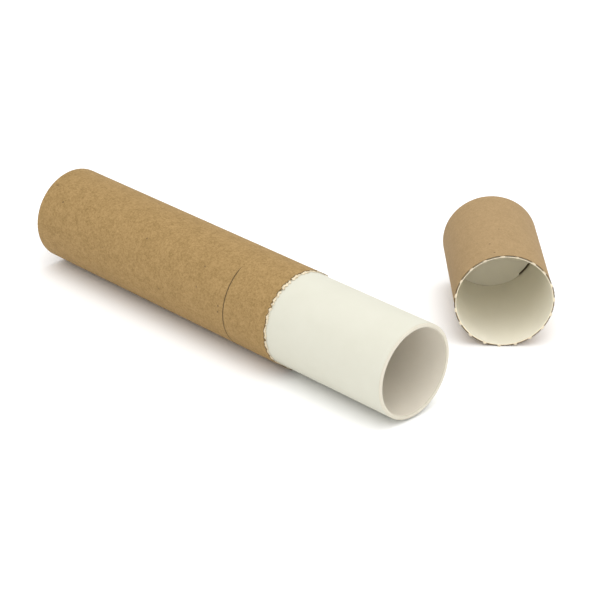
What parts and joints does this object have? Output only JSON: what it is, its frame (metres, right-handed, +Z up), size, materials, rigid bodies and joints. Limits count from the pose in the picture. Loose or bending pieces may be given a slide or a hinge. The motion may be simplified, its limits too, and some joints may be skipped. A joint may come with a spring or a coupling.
{
  "type": "drawing tube",
  "caption": "Round paper tube for rolled drawings, lying with its torn-off lid beside it; a thick white sleeve slides in the kraft tube and forms the lid's neck.",
  "frame": {"origin": "on the floor, under the middle of the box around the tube and its lid", "axes": "+X along the tube from its closed end to its open mouth, +Y towards the side where the lid lies, +Z up"},
  "size_m": [0.3255, 0.24, 0.065],
  "materials": {
    "kraft": "matte",
    "board": "matte",
    "white_paper": "matte",
    "cream_board": "matte"
  },
  "bodies": {
    "base": {"base_wrap": "kraft", "base_board": "board", "base_liner": "white_paper", "collar_wrap": "kraft", "collar_board": "board", "base_cup": "board", "base_cup_facing": "white_paper", "base_cup_backing": "kraft"},
    "sleeve": {"sleeve_skin": "white_paper", "sleeve_ply_outer": "cream_board", "sleeve_ply_middle": "cream_board", "sleeve_ply_inner": "cream_board", "sleeve_liner": "white_paper"},
    "lid": {"lid_wrap": "kraft", "lid_board": "board", "lid_liner": "white_paper", "lid_cup": "board", "lid_cup_facing": "white_paper", "lid_cup_backing": "kraft"}
  },
  "joints": [
    {"name": "lid_swing", "type": "hinge", "parent": "base", "child": "lid", "pos_m": [0.12763, -0.03534, 0], "axis": [0, 0, -1], "range_deg": [0, 136]},
    {"name": "sleeve_slide", "type": "slide", "parent": "base", "child": "sleeve", "axis": [1, 0, 0], "range_m": [-0.01025, 0.09125]}
  ]
}
